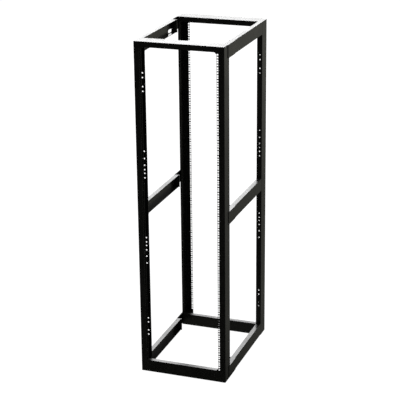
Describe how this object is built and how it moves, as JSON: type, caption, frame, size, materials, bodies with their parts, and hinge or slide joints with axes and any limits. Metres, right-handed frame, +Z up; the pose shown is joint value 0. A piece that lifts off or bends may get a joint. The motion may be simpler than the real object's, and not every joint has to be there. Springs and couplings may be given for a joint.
{
  "type": "four post open frame rack",
  "caption": "Free-standing open steel rack frame with four corner posts, square mounting holes, top and bottom rails and side rails.",
  "frame": {"origin": "centre of the footprint on the floor", "axes": "+Z up, front towards -Y, width along X"},
  "size_m": [0.551, 0.805, 2.07],
  "materials": {
    "black_paint": "gloss"
  },
  "bodies": {
    "root": {"front_bottom_rail": "black_paint", "front_left_post": "black_paint", "front_right_post": "black_paint", "front_top_rail": "black_paint", "left_bottom_bracket": "black_paint", "left_bottom_rail_bracket_plate": "black_paint", "left_bottom_rail_post_plate": "black_paint", "left_bottom_side_rail": "black_paint", "left_middle_bracket": "black_paint", "left_middle_rail_bracket_plate": "black_paint", "left_middle_rail_post_plate": "black_paint", "left_middle_side_rail": "black_paint", "left_top_bracket": "black_paint", "left_top_rail_bracket_plate": "black_paint", "left_top_rail_post_plate": "black_paint", "left_top_side_rail": "black_paint", "rear_bottom_rail": "black_paint", "rear_left_post": "black_paint", "rear_right_post": "black_paint", "rear_top_rail": "black_paint", "right_bottom_bracket": "black_paint", "right_bottom_rail_bracket_plate": "black_paint", "right_bottom_rail_post_plate": "black_paint", "right_bottom_side_rail": "black_paint", "right_middle_bracket": "black_paint", "right_middle_rail_bracket_plate": "black_paint", "right_middle_rail_post_plate": "black_paint", "right_middle_side_rail": "black_paint", "right_top_bracket": "black_paint", "right_top_rail_bracket_plate": "black_paint", "right_top_rail_post_plate": "black_paint", "right_top_side_rail": "black_paint"}
  },
  "joints": []
}
